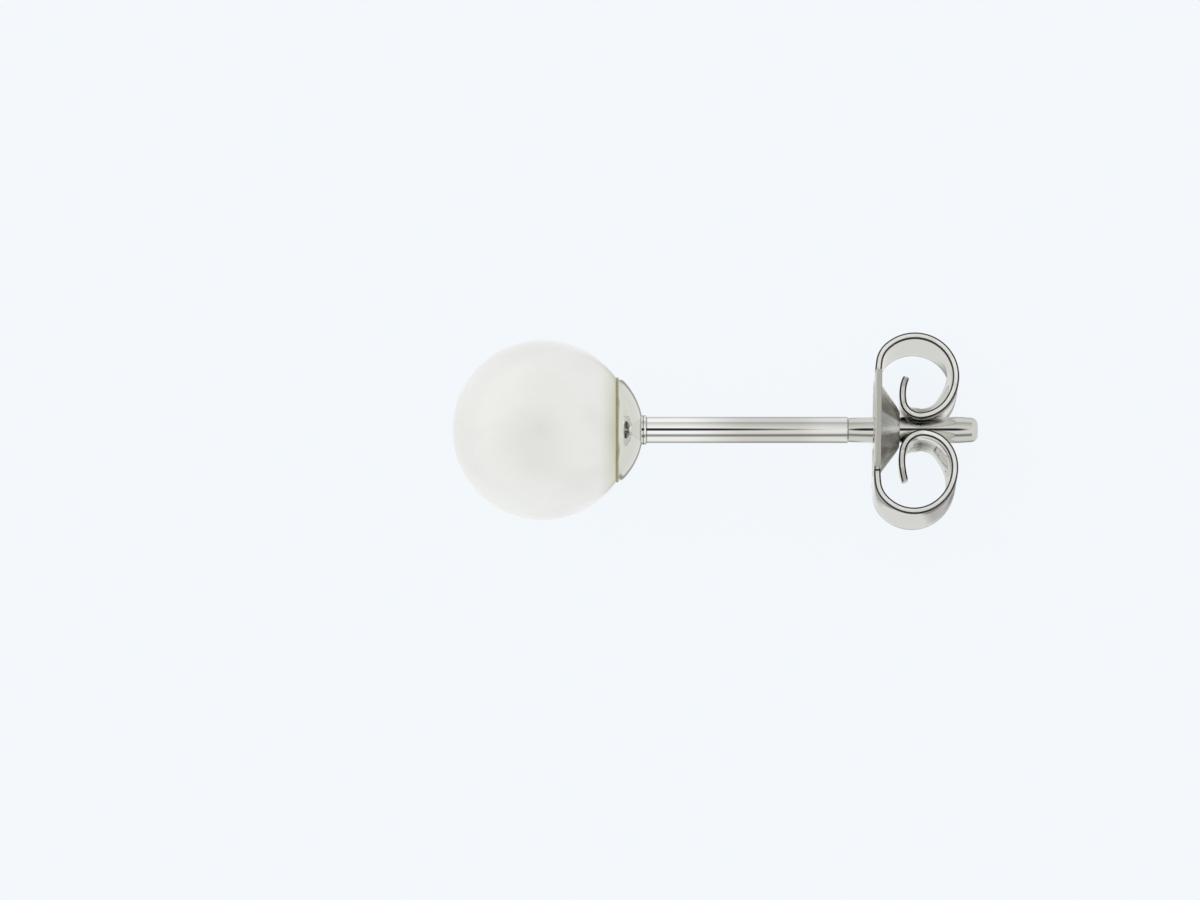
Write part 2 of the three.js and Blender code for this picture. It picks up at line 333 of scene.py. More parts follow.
def stud_place():
    """From the stud's own frame in millimetres to where the CAD stud lies, in metres."""
    tilt = Matrix.Rotation(resting_tilt(), 4, "Y")
    return Matrix.Translation(pearl_centre()) @ tilt @ Matrix.Scale(MM, 4)


def height_on_circle(radius, half_width):
    """How far from the middle of a circle a chord of this half width lies."""
    return math.sqrt(radius * radius - half_width * half_width)


# Shapes


class Profile:
    """Half the section of a turned piece, drawn in X and Y, and spun round the X axis at the end."""

    def __init__(self, x, radius):
        self.bm = bmesh.new()
        self.end = self.bm.verts.new((x, radius, 0))
        self.corners = []

    def line(self, x, radius, rounding=0, steps=3):
        """A straight line to a corner, which may be rounded."""
        made = bmesh.ops.extrude_vert_indiv(self.bm, verts=[self.end])
        self.end = made["verts"][0]
        self.end.co = (x, radius, 0)
        if rounding:
            self.corners.append((self.end, rounding, steps))

    def arc(self, centre, angle, steps):
        """A turn round a point of the axis. It runs anticlockwise for a positive angle."""
        made = bmesh.ops.spin(
            self.bm,
            geom=[self.end],
            cent=(centre, 0, 0),
            axis=(0, 0, 1),
            angle=angle,
            steps=steps,
            use_duplicate=False,
        )
        self.end = next(g for g in made["geom_last"] if isinstance(g, bmesh.types.BMVert))

    def spin(self, sides):
        """Round the corners, and turn the profile into a closed piece."""
        for corner, rounding, steps in self.corners:
            bmesh.ops.bevel(
                self.bm,
                geom=[corner],
                offset=rounding,
                offset_type="OFFSET",
                segments=steps,
                profile=0.5,
                affect="VERTICES",
                material=-1,
            )
        bmesh.ops.spin(
            self.bm,
            geom=self.bm.verts[:] + self.bm.edges[:],
            cent=(0, 0, 0),
            axis=(1, 0, 0),
            angle=FULL_TURN,
            steps=sides,
            use_merge=True,
            use_duplicate=False,
        )
        bmesh.ops.remove_doubles(self.bm, verts=self.bm.verts, dist=WELD)
        bmesh.ops.recalc_face_normals(self.bm, faces=self.bm.faces)
        return self.bm


def piece(bm, name, place, materials):
    """A finished object: its place is in its mesh, and its soft edges shade smoothly."""
    bm.transform(place)
    mesh = bpy.data.meshes.new(name)
    bm.to_mesh(mesh)
    bm.free()
    for material in materials:
        mesh.materials.append(material)
    mesh.shade_smooth()
    made = bpy.data.objects.new(name, mesh)
    bpy.context.scene.collection.objects.link(made)
    return made


def keep_flats_flat(made, keep_sharp):
    """Large faces keep their own direction, so that long reflections stay straight."""
    weighted = made.modifiers.new("Flats stay flat", "WEIGHTED_NORMAL")
    weighted.keep_sharp = keep_sharp


def pearl_mesh(sizes):
    """A round pearl with a blind hole that opens towards the cup."""
    radius = sizes.diameter / 2
    hole = sizes.hole_diameter / 2
    mouth = math.asin(hole / radius)
    profile = Profile(-radius, 0)
    profile.arc(0, mouth - math.pi, PEARL_STEPS)
    profile.line(sizes.hole_end, hole)
    profile.line(sizes.hole_end - sizes.drill_point, 0)
    return profile.spin(PEARL_SIDES)


def setting_mesh(sizes, pearl):
    """The peg, the cup for a pearl of this radius, the solder collar and the notched post in one."""
    peg = sizes.peg_diameter / 2
    rim = sizes.rim_diameter / 2
    post = sizes.post_diameter / 2
    collar = sizes.collar_diameter / 2
    hollow = pearl + sizes.cement_gap
    mouth = rim - sizes.rim_edge
    peg_root = height_on_circle(hollow, peg)
    rim_front = height_on_circle(hollow, mouth)
    band_back = rim_front + sizes.rim_band
    cup_back = pearl + sizes.back_thickness
    depth = cup_back - band_back
    back_rim = rim - sizes.band_slope
    back_radius = (depth * depth + back_rim * back_rim) / (2 * depth)
    back_centre = cup_back - back_radius
    back_start = math.asin(back_rim / back_radius)
    back_end = math.asin(collar / back_radius)
    collar_end = cup_back + sizes.collar_length
    tip = cup_back + sizes.post_length
    notch = tip - sizes.notch_from_tip

    profile = Profile(peg_root - sizes.peg_length, 0)
    profile.line(peg_root - sizes.peg_length, peg, sizes.peg_chamfer, 1)
    profile.line(peg_root, peg)
    profile.arc(0, math.asin(mouth / hollow) - math.asin(peg / hollow), 16)
    profile.line(rim_front, rim, sizes.rim_round)
    profile.line(band_back, back_rim, sizes.band_round, 4)
    profile.arc(back_centre, back_end - back_start, 32)
    profile.line(collar_end, collar, sizes.collar_round)
    profile.line(collar_end, post)
    profile.line(notch, post, sizes.notch_round, 2)
    profile.line(notch + sizes.notch_step, post - sizes.notch_depth, sizes.notch_round, 2)
    profile.line(notch + sizes.notch_length, post, sizes.notch_ease, 2)
    profile.line(tip - sizes.taper_length, post, sizes.taper_round, 4)
    profile.line(tip, post - sizes.taper, sizes.tip_round, 10)
    profile.line(tip, 0)
    return profile.spin(POST_SIDES)


def cement_mesh(setting, pearl):
    """The bead of cement that shows between the pearl and the cup's rim."""
    rim = setting.rim_diameter / 2
    inside_rim = rim - setting.rim_round
    place = height_on_circle(pearl + setting.cement_gap, rim) - setting.bead_forward
    profile = Profile(place + setting.cement_bead, inside_rim)
    made = bmesh.ops.spin(
        profile.bm,
        geom=[profile.end],
        cent=(place, inside_rim, 0),
        axis=(0, 0, 1),
        angle=FULL_TURN,
        steps=10,
        use_merge=True,
        use_duplicate=False,
    )
    profile.end = made["geom_last"][0]
    return profile.spin(PEARL_SIDES)


def wing_width(turned):
    """Share of a wing's full width after this share of its whole turn."""
    for (start, width), (end, next_width) in zip(WING_TAPER, WING_TAPER[1:]):
        if turned <= end:
            return width + (next_width - width) * (turned - start) / (end - start)
    return WING_TAPER[-1][1]


def scroll_rows(sizes):
    """Each step of a scroll: its share of the bend's angle, bend centre and how far it has turned."""
    loop = (sizes.loop_diameter - sizes.sheet) / 2
    spot = Vector((sizes.sheet / 2, 0, 0))
    bent = 0
    rows = []
    for turn, radius_share in SCROLL_BENDS:
        inward = Vector((math.cos(math.radians(bent)), -math.sin(math.radians(bent)), 0))
        centre = spot + inward * loop * radius_share
        steps = math.ceil(turn / SCROLL_STEP)
        bent += turn
        end = math.radians(bent)
        spot = centre - Vector((math.cos(end), -math.sin(end), 0)) * loop * radius_share
        for step in range(steps):
            turned = bent - turn + turn * (step + 1) / steps
            rows.append((math.radians(turn / steps), centre, turned))
    return rows


def lowest_of_scroll(rows, sizes):
    """Where the scroll comes nearest to the post, measured from the wing's root."""
    spot = Vector((sizes.sheet / 2, 0, 0))
    nearest = spot.copy()
    for angle, centre, _ in rows:
        spot = Matrix.Rotation(-angle, 3, "Z") @ (spot - centre) + centre
        if spot.y < nearest.y:
            nearest = spot.copy()
    return nearest


def open_rows(bm, edges):
    """Extrude an open row of edges, and give the new row's edges and points."""
    made = bmesh.ops.extrude_edge_only(bm, edges=edges)["geom"]
    points = [g for g in made if isinstance(g, bmesh.types.BMVert)]
    fresh = set(points)
    row = [g for g in made if isinstance(g, bmesh.types.BMEdge) and set(g.verts) <= fresh]
    return row, points


def groove_depth(turned, across, sizes):
    """How far the groove that the post runs in is pressed into a wing."""
    bore = sizes.clearance + sizes.post_radius
    depth = (bore - sizes.grip_gap / 2) * GROOVE_SPARE
    after = turned > GRIP_TURN
    away = max(0.0, abs(turned - GRIP_TURN) - GROOVE_EVEN[after]) / GROOVE_FADE[after]
    aside = abs(across) / sizes.groove_half_width
    if away >= 1 or aside >= 1:
        return 0
    return depth * math.cos(away * math.pi / 2) ** 2 * math.cos(aside * math.pi / 2) ** 2


def curl_wing(bm, edges, root, side, longer, sizes):
    """Bend one wing out of the plate's edge, step by step, and press the groove into it.

    The part of the scroll beyond the plate's edge may be drawn out by a share of its length.
    """
    rows = scroll_rows(sizes)
    whole = rows[-1][2]
    border = bm.verts.layers.float[BORDER]
    base = Vector((0, side * root, 0))
    done = []
    width = 1.0
    for angle, centre, turned in rows:
        edges, points = open_rows(bm, edges)
        about = Vector((centre.x, side * centre.y, 0)) + base
        bend = Matrix.Rotation(-side * angle, 3, "Z")
        bmesh.ops.rotate(bm, cent=about, matrix=bend, verts=points)
        wider = wing_width(turned / whole)
        bmesh.ops.scale(bm, vec=(1, 1, wider / width), verts=points)
        width = wider
        for point in points:
            point[border] = abs(point.co.z) / (sizes.wing_width / 2 * width)
        done.append((points, turned))
    for points, turned in done:
        inward = Vector((math.cos(math.radians(turned)), -side * math.sin(math.radians(turned)), 0))
        for point in points:
            point.co += inward * groove_depth(turned, point.co.z, sizes)
            beyond = max(0.0, side * point.co.y - root)
            point.co.y += side * beyond * longer


def boss(sizes):
    """The boss with its neck, drawn out of a round piece of the sheet, and the ring it ends in."""
    middle = sizes.sheet / 2
    bore = sizes.post_radius + sizes.clearance
    base = sizes.boss_base / 2
    shoulder = middle + sizes.boss_shoulder_height
    profile = Profile(middle, base + sizes.boss_apron)
    profile.line(middle, base, sizes.boss_round, 4)
    profile.line(shoulder, sizes.boss_shoulder / 2, sizes.boss_round, 4)
    profile.line(middle + sizes.boss_height, bore + sizes.neck_wall / 2)
    bm = profile.spin(8 * (len(WING_COLUMNS) - 1))
    for face in bm.faces:
        face.material_index = DRAWN
    bm.verts.layers.float.new(BORDER)
    foot = middle + WELD
    return bm, [e for e in bm.edges if e.is_boundary and all(v.co.x < foot for v in e.verts)]


def square_off(points, root, half):
    """Move the points of a ring out to the plate's middle rectangle. Their columns suit the wings."""
    steps = len(WING_COLUMNS) - 1
    for point in points:
        turn = math.atan2(point.co.z, point.co.y) * 2 / math.pi
        side = round(turn)
        step = round((turn - side) * 2 * steps)
        if side % 2:
            point.co.y = -math.copysign(1, turn) * step / steps * root
            point.co.z = math.copysign(half, turn)
        else:
            toward = 1 if side == 0 else -1
            point.co.y = toward * root
            point.co.z = toward * math.copysign(WING_COLUMNS[abs(step)], step) * half


def clutch_sheet(sizes):
    """The middle of the clutch's sheet: a plate with its boss, and two wings curled out of it."""
    rows = scroll_rows(sizes)
    nearest = lowest_of_scroll(rows, sizes)
    root = (sizes.grip_gap + sizes.sheet) / 2 - nearest.y
    half = sizes.wing_width / 2
    bm, ring = boss(sizes)
    rim, points = open_rows(bm, ring)
    square_off(points, root, half)
    for edge in rim:
        edge.link_faces[0].material_index = FACE
    sides = {}
    for name, axis, sign, reach in (
        ("upper", 1, 1, root),
        ("lower", 1, -1, root),
        ("near", 2, 1, half),
        ("far", 2, -1, half),
    ):
        sides[name] = [e for e in rim if all(abs(v.co[axis] - sign * reach) < WELD for v in e.verts)]
    curl_wing(bm, sides["upper"], root, 1, 0, sizes)
    curl_wing(bm, sides["lower"], root, -1, sizes.lower_longer, sizes)
    for name, sign in (("near", 1), ("far", -1)):
        edges = sides[name]
        spare = sizes.plate_width / 2 - half
        for part in (0.7, 0.3):
            edges, points = open_rows(bm, edges)
            bmesh.ops.translate(bm, vec=(0, 0, sign * spare * part), verts=points)
    edge = sizes.plate_width / 2 - WELD
    corners = [v for v in bm.verts if abs(v.co.z) > edge and abs(v.co.y) > root - WELD]
    bmesh.ops.bevel(
        bm,
        geom=corners,
        offset=sizes.corner,
        offset_type="OFFSET",
        segments=5,
        profile=0.5,
        affect="VERTICES",
        material=-1,
    )
    bmesh.ops.recalc_face_normals(bm, faces=bm.faces)
    return bm, nearest


def weigh_walls(made, sizes):
    """The boss's wall is drawn thinner than the sheet, and its neck thinner still."""
    group = made.vertex_groups.new(name="wall")
    middle = sizes.sheet / 2
    foot = middle + 0.04
    top = middle + sizes.boss_height
    reach = sizes.boss_base / 2 + 0.02
    thinner_from = sizes.boss_shoulder_height * 0.9
    for vertex in made.data.vertices:
        spot = vertex.co
        wall = sizes.sheet
        if math.hypot(spot.y, spot.z) < reach and foot < spot.x < top + WELD:
            up = max(0.0, spot.x - middle - thinner_from)
            thin = min(1.0, up / (sizes.boss_height - thinner_from))
            wall = sizes.boss_wall + (sizes.neck_wall - sizes.boss_wall) * thin
        group.add([vertex.index], wall / sizes.sheet, "REPLACE")
    return group.name


def thicken_sheet(made, sizes):
    """Give the sheet its thickness and tumbled edges, and keep the result as the object's mesh."""
    thick = made.modifiers.new("Sheet's thickness", "SOLIDIFY")
    thick.thickness = sizes.sheet
    thick.offset = 0
    thick.use_even_offset = True
    thick.use_quality_normals = True
    thick.vertex_group = weigh_walls(made, sizes)
    thick.material_offset_rim = CUT
    edges = made.modifiers.new("Tumbled edges", "BEVEL")
    edges.width = sizes.edge_round
    edges.segments = 3
    # The bevels take the painted dark reflection of the shear corners
    edges.material = PAINTED_DARK_CORNER
    edges.limit_method = "ANGLE"
    edges.angle_limit = math.radians(50)
    ready = made.evaluated_get(bpy.context.evaluated_depsgraph_get())
    made.data = bpy.data.meshes.new_from_object(ready)
    made.modifiers.clear()


# Finishes


class Signal:
    """A value in a node tree. Adding, multiplying and so on make the Math nodes."""

    def __init__(self, recipe, socket):
        self.recipe = recipe
        self.socket = socket

    def calculate(self, operation, *values):
        sockets = {i: value for i, value in enumerate(values)}
        return self.recipe.node("ShaderNodeMath", {"operation": operation}, sockets)

    def __add__(self, other):
        return self.calculate("ADD", self, other)

    def __radd__(self, other):
        return self.calculate("ADD", other, self)

    def __sub__(self, other):
        return self.calculate("SUBTRACT", self, other)

    def __rsub__(self, other):
        return self.calculate("SUBTRACT", other, self)

    def __mul__(self, other):
        return self.calculate("MULTIPLY", self, other)

    def __rmul__(self, other):
        return self.calculate("MULTIPLY", other, self)

    def __truediv__(self, other):
        return self.calculate("DIVIDE", self, other)

    def __abs__(self):
        return self.calculate("ABSOLUTE", self)


class Recipe:
    """Builds the nodes of one material or of the world."""

    def __init__(self, tree):
        self.tree = tree
        tree.nodes.clear()

    def node(self, kind, settings=None, sockets=None, output=0):
        made = self.tree.nodes.new(kind)
        for name, value in (settings or {}).items():
            if name == "stops":
                self.set_stops(made.color_ramp, value)
            else:
                setattr(made, name, value)
        for name, value in (sockets or {}).items():
            socket = made.inputs[name]
            if isinstance(value, Signal):
                self.tree.links.new(value.socket, socket)
            else:
                socket.default_value = value
        return Signal(self, made.outputs[output]) if made.outputs else made

    def set_stops(self, ramp, stops):
        ramp.interpolation = "EASE"
        while len(ramp.elements) < len(stops):
            ramp.elements.new(1.0)
        for element, (position, value) in zip(ramp.elements, stops):
            element.position = position
            element.color = (value, value, value, 1.0)

    def ramp(self, signal, *stops):
        """A smooth curve of grey values through the stops."""
        return self.node("ShaderNodeValToRGB", {"stops": stops}, {"Fac": signal})

    def between(self, signal, start, end):
        """Rises smoothly from 0 at start to 1 at end."""
        settings = {"interpolation_type": "SMOOTHSTEP"}
        sockets = {"Value": signal, "From Min": start, "From Max": end}
        return self.node("ShaderNodeMapRange", settings, sockets)

    def mix(self, amount, first, second):
        """From the first colour to the second. A Mix node's colours are its sockets 6, 7 and 2."""
        sockets = {0: amount, 6: first, 7: second}
        return self.node("ShaderNodeMix", {"data_type": "RGBA"}, sockets, output=2)

    def stud_point(self):
        """The point of the surface in millimetres, in the stud's own frame."""
        where = self.node("ShaderNodeTexCoord", output="Object")
        sockets = {
            "Vector": where,
            "Location": tuple(pearl_centre()),
            "Rotation": (0, resting_tilt(), 0),
            "Scale": (MM, MM, MM),
        }
        return self.node("ShaderNodeMapping", {"vector_type": "TEXTURE"}, sockets)

    def stretched(self, vector, x, y, z):
        return self.node("ShaderNodeMapping", {}, {"Vector": vector, "Scale": (x, y, z)})

    def noise(self, vector, scale, detail=3.0, roughness=0.5):
        sockets = {"Vector": vector, "Scale": scale, "Detail": detail, "Roughness": roughness}
        return self.node("ShaderNodeTexNoise", {}, sockets)

    def part_of(self, vector, index):
        return self.node("ShaderNodeSeparateXYZ", {}, {"Vector": vector}, output=index)

    def vectors(self, operation, first, second, output="Value"):
        settings = {"operation": operation}
        return self.node("ShaderNodeVectorMath", settings, {0: first, 1: second}, output)

    def away(self, point, spot):
        """How far a point lies from a spot."""
        return self.vectors("DISTANCE", point, spot)

    def from_post(self, point):
        """How far a point of the stud's frame lies from the post's axis."""
        flat = self.vectors("MULTIPLY", point, (0.0, 1.0, 1.0), "Vector")
        return self.away(flat, (0.0, 0.0, 0.0))

    def along(self, direction, axis):
        """The part of a direction that runs along an axis."""
        return self.vectors("DOT_PRODUCT", direction, tuple(axis))

    def bump(self, height, distance):
        """A bump whose height runs from 0 to 1 over this distance in metres."""
        return self.node("ShaderNodeBump", {}, {"Height": height, "Distance": distance})

    def surface(self, sockets):
        shader = self.node("ShaderNodeBsdfPrincipled", {}, sockets)
        self.node("ShaderNodeOutputMaterial", {}, {"Surface": shader})


def opaque(rgb):
    return (*rgb, 1.0)


def new_recipe(name):
    material = bpy.data.materials.new(name)
    material.use_nodes = True
    return material, Recipe(material.node_tree)


def nacre(settings, setting):
    """White nacre: a soft body colour under a clear lustre, with painted warm shade beside the cup.
    Two faint dark clouds on it are painted dark reflections.
    """
    material, make = new_recipe("Nacre")
    point = make.stud_point()
    drift = make.between(make.noise(point, 0.35, 2.0), 0.35, 0.65)
    body = make.mix(drift * 0.7, opaque(settings.body), opaque(settings.overtone))
    clouds = make.noise(make.stretched(point, 0.8, 1.5, 1.2), 0.42, 2.0)
    body = make.mix(make.between(clouds, 0.45, 0.7) * 0.6, body, opaque(settings.cloud))
    # Painted dark reflections on the nacre
    for middle, even, end, strength in PAINTED_DARK_REFLECTIONS:
        cloud = 1 - make.between(make.away(point, middle), even, end)
        body = make.mix(cloud * strength, body, opaque(settings.cloud))
    grain = make.noise(point, 5.0, 4.0)
    body = make.mix(make.between(grain, 0.3, 0.8) * 0.05, body, opaque(settings.shade))
    # Painted warm shade on the nacre beside the cup's rim
    rim = height_on_circle(settings.diameter / 2 / MM, setting.rim_diameter / 2 / MM)
    beside = make.between(make.part_of(point, 0), rim - 0.85, rim + 0.02)
    body = make.mix(beside * beside * 0.9, body, opaque(settings.shade))
    skin = make.noise(make.stretched(point, 1, 1.6, 1.6), 2.2, 5.0, 0.62)
    make.surface(
        {
            "Base Color": body,
            "Roughness": 0.34 + grain * 0.1,
            "IOR": 1.53,
            "Coat Weight": settings.gloss,
            "Coat Roughness": 0.2,
            "Coat IOR": 1.55,
            "Normal": make.bump(skin, 0.000004),
        }
    )
    return material


def polished_metal(settings, cup_back, collar_end):
    """Mirror-polished metal, duller on the cup and where it is handled, with dark solder joints."""
    material, make = new_recipe("Polished setting metal")
    point = make.stud_point()
    haze = make.between(make.noise(point, 1.3, 5.0, 0.6), 0.4, 0.75)
    lines = make.noise(make.stretched(point, 26, 1.2, 1.2), 1.0, 2.0)
    waves = make.noise(make.stretched(point, 0.06, 2.0, 2.0), 0.9, 2.0)
    along = make.part_of(point, 0)
    cup = 1 - make.between(along, cup_back - 0.05, cup_back + 0.02)
    tint = make.mix(haze * 0.15, opaque(settings.metal), HANDLING_HAZE)
    tint = make.mix(cup, tint, opaque(settings.cup_haze))
    outer_half = make.between(along, 4.6, 7.0)
    before_notch = make.between(along, 8.4, 9.4)
    past_notch = make.between(along, 10.1, 10.2)
    handled = outer_half - before_notch * 0.4 + past_notch * 0.7
    tint = make.mix(handled * 0.9, tint, opaque(settings.handled))
    for joint in (cup_back + 0.01, collar_end + 0.01):
        at_joint = 1 - make.between(abs(along - joint), 0.01, 0.035)
        tint = make.mix(at_joint * 0.75, tint, JOINT_LINE)
    make.surface(
        {
            "Base Color": tint,
            "Metallic": 1.0,
            "Roughness": 0.012 + haze * 0.03 + lines * 0.01 + cup * 0.02 + handled * 0.05,
            "Normal": make.bump(waves * 0.7 + lines * 0.02, 0.000003),
        }
    )
    return material


def sheet_metal(settings):
    """Rolled sheet, polished in the barrel: bright and a little wavy, rougher at borders and grip.
    Its borders carry a painted dark reflection, and the sheet beside the post painted shade.
    """
    material, make = new_recipe("Rolled sheet metal")
    point = make.stud_point()
    haze = make.between(make.noise(point, 1.8, 5.0, 0.6), 0.35, 0.75)
    rolled = make.noise(make.stretched(point, 1.2, 1.2, 16), 1.0, 3.0)
    waves = make.noise(point, 1.1, 2.0)
    tint = make.mix(haze * 0.2, opaque(settings.metal), SHEET_HAZE)
    border = make.node("ShaderNodeAttribute", {"attribute_name": BORDER}, output="Fac")
    # Painted dark reflection along the wings' borders, which are also made matt
    painted_dark_border = make.between(border, 0.91, 0.95)
    tint = make.mix(painted_dark_border * 0.8, tint, opaque(settings.corner_metal))
    # Painted shade on the sheet beside the post, where it is also rougher
    grip = 1 - make.between(make.from_post(point), 0.6, 0.82)
    tint = make.mix(grip, tint, opaque(settings.dull))
    make.surface(
        {
            "Base Color": tint,
            "Metallic": 1 - painted_dark_border * 0.8,
            "Specular Tint": SHEET_GLANCE,
            "Roughness": 0.04 + haze * 0.05 + rolled * 0.02 + grip * 0.2 + painted_dark_border * 0.45,
            "Normal": make.bump(waves * 0.7 + rolled * 0.03, 0.000004),
        }
    )
    return material


def drawn_metal(settings):
    """The boss as the press leaves it, grey and satin, with rings from the drawing punch.
    Its flanks carry a painted dark reflection, and a band along its middle a painted highlight.
    """
    material, make = new_recipe("Drawn boss metal")
    point = make.stud_point()
    rings = make.noise(make.stretched(point, 9, 0.8, 0.8), 1.0, 2.0)
    grime = make.between(make.noise(point, 2.0, 4.0), 0.3, 0.7)
    upright = abs(make.part_of(point, 2)) / make.from_post(point)
    # Painted dark reflection on the boss's flanks, and a painted highlight along its middle
    painted_dark_flank = 1 - make.between(upright, 0.15, 0.5)
    painted_highlight = make.between(upright, 0.95, 0.975)
    darker = tuple(value * 0.6 for value in settings.drawn)
    drawn = make.mix(grime, opaque(settings.drawn), opaque(darker))
    drawn = make.mix(painted_highlight * 0.85, drawn, BOSS_PAINTED_HIGHLIGHT)
    make.surface(
        {
            "Base Color": make.mix(painted_dark_flank * 0.9, drawn, opaque(settings.corner_metal)),
            "Metallic": 0.45,
            "Roughness": 0.22 + grime * 0.1,
            "Normal": make.bump(rings, 0.000004),
        }
    )
    return material


def cut_metal(name, tone, roughness, metallic):
    """A sheared edge of the sheet, with fine marks across it. The plate's two edges are greyer."""
    material, make = new_recipe(name)
    point = make.stud_point()
    marks = make.noise(make.stretched(point, 3, 3, 1), 1.0, 2.0)
    haze = make.between(make.noise(point, 1.4, 3.0), 0.35, 0.7)
    darker = tuple(value * 0.86 for value in tone)
    plate_edge = make.between(abs(make.part_of(point, 2)), 2.0, 2.3)
    shade = make.mix(haze, opaque(tone), opaque(darker))
    make.surface(
        {
            "Base Color": make.mix(plate_edge, shade, PLAIN_EDGE),
            "Metallic": metallic,
            "Roughness": roughness + haze * 0.06,
            "Normal": make.bump(marks, 0.000003),
        }
    )
    return material


def set_cement(settings):
    """Cured cement: tan, slightly clouded and dull."""
    material, make = new_recipe("Cement")
    point = make.stud_point()
    cloud = make.noise(point, 3.0, 4.0)
    dry = make.between(cloud, 0.3, 0.7)
    tint = make.mix(dry * 0.4, opaque(settings.cement), DRY_CEMENT)
    make.surface(
        {
            "Base Color": tint,
            "Roughness": 0.45,
            "Normal": make.bump(cloud, 0.000006),
        }
    )
    return material


def lit_table(settings):
    """A table lit from beneath. Beside the post and at its tip, mirrors see the floor through it.

    These places are given in metres along the post.
    """
    material, make = new_recipe("Lit table")
    place = make.node("ShaderNodeTexCoord", output="Object")
    along_post = make.part_of(place, 0)
    past_cup = make.between(along_post, -0.0031, -0.0027)
    past_plate = make.between(along_post, 0.0046, 0.005)
    at_the_tip = make.between(along_post, 0.0070, 0.0076)
    mirrored = make.node("ShaderNodeLightPath", output="Is Glossy Ray")
    matt = make.node("ShaderNodeLightPath", output="Is Diffuse Ray")
    tone = opaque(settings.table)
    matt_strength = TABLE_GLOW + settings.table_light
    shown = make.node("ShaderNodeEmission", {}, {"Color": tone, "Strength": TABLE_GLOW})
    onto_matt = make.node("ShaderNodeEmission", {}, {"Color": tone, "Strength": matt_strength})
    sockets = {"Color": (1.0, 1.0, 0.98, 1.0), "Strength": TABLE_IN_MIRRORS}
    in_mirrors = make.node("ShaderNodeEmission", {}, sockets)
    light = make.node("ShaderNodeMixShader", {}, {0: matt, 1: shown, 2: onto_matt})
    light = make.node("ShaderNodeMixShader", {}, {0: mirrored, 1: light, 2: in_mirrors})
    paper = make.node("ShaderNodeBsdfDiffuse", {}, {"Color": (0.05, 0.05, 0.05, 1.0)})
    both = make.node("ShaderNodeAddShader", {}, {0: light, 1: paper})
    clear = make.node("ShaderNodeBsdfTransparent")
    open_floor = mirrored * (past_cup - past_plate + at_the_tip)
    mixed = make.node("ShaderNodeMixShader", {}, {0: open_floor, 1: both, 2: clear})
    make.node("ShaderNodeOutputMaterial", {}, {"Surface": mixed})
    return material


def towards(make, direction, target, start, end):
    """Rises from 0 to 1 as a direction comes from one angle to another of a target, in degrees."""
    nearness = make.along(direction, target)
    return make.between(nearness, math.cos(math.radians(start)), math.cos(math.radians(end)))


def light_tent(settings, lens_place, post_axis):
    """A white light tent. Its dim walls, its floor and the dark lens give the metal its lines."""
    world = bpy.data.worlds.new("Light tent")
    world.use_nodes = True
    make = Recipe(world.node_tree)
    direction = make.node("ShaderNodeTexCoord", output="Generated")
    side = make.part_of(direction, 1)
    height = make.part_of(direction, 2)
    near_wall = make.ramp(
        height,
        (0.0, 0.92),
        (0.18, 0.88),
        (0.38, 0.50),
        (0.50, 0.20),
        (0.62, 0.40),
        (0.76, 0.93),
        (0.92, 1.0),
    )
    far_wall = make.ramp(
        height,
        (0.0, 0.93),
        (0.30, 0.88),
        (0.47, 0.56),
        (0.62, 0.60),
        (0.78, 0.76),
        (0.93, 0.88),
        (0.98, 1.0),
    )
    wall_side = make.between(side, -0.25, 0.25)
    wall = near_wall * (1 - wall_side) + far_wall * wall_side
    window = towards(make, direction, WINDOW_AT, 65, 0)
    lens = towards(make, direction, lens_place, 15, 7)
    to_the_ends = make.between(abs(make.along(direction, post_axis)), 0.25, 0.5)
    wall = wall + (0.93 - wall) * to_the_ends
    tent = (wall + window * 0.6) * (1 - lens * 0.97)
    floor = make.ramp(
        1 + height,
        (0.0, 0.72),
        (0.02, 0.35),
        (0.2, 0.41),
        (0.42, 0.83),
        (1.0, 0.92),
    )
    lengthwise = make.between(abs(make.part_of(direction, 0)), 0.26, 0.40)
    floor = floor + (0.89 - floor) * lengthwise
    above = make.between(height, -0.02, 0.0)
    tent = floor + (tent - floor) * above
    seen = make.node("ShaderNodeLightPath", output="Is Camera Ray")
    matt = make.node("ShaderNodeLightPath", output="Is Diffuse Ray")
    glow = tent * TENT_IN_MIRRORS * (1 - matt) + matt * settings.tent_light
    sockets = {"Color": (1.0, 1.0, 0.99, 1.0), "Strength": glow}
    tent_light = make.node("ShaderNodeBackground", {}, sockets)
    sockets = {"Color": opaque(settings.table), "Strength": BACKDROP_GLOW}
    backdrop = make.node("ShaderNodeBackground", {}, sockets)
    mixed = make.node("ShaderNodeMixShader", {}, {0: seen, 1: tent_light, 2: backdrop})
    make.node("ShaderNodeOutputWorld", {}, {"Surface": mixed})
    return world


def leaning(turn, lean):
    """A direction that leans back from straight above the post by this angle."""
    return turn @ Vector((0, -math.sin(lean), math.cos(lean)))


def new_camera(settings, turn):
    """A camera above the post that sees it lying level."""
    right = turn @ Vector((1, 0, 0))
    back = leaning(turn, settings.looks_down)
    up = back.cross(right)
    target = stud_place().translation + right * settings.aim_along - up * settings.aim_below
    lens = bpy.data.cameras.new("Camera")
    lens.sensor_width = 36
    lens.lens = lens.sensor_width * settings.distance / settings.view_width
    lens.clip_start = 0.01
    camera = bpy.data.objects.new("Camera", lens)
    axes = Matrix((right, up, back)).transposed().to_4x4()
    camera.matrix_world = Matrix.Translation(target + back * settings.distance) @ axes
    return camera


# Operators


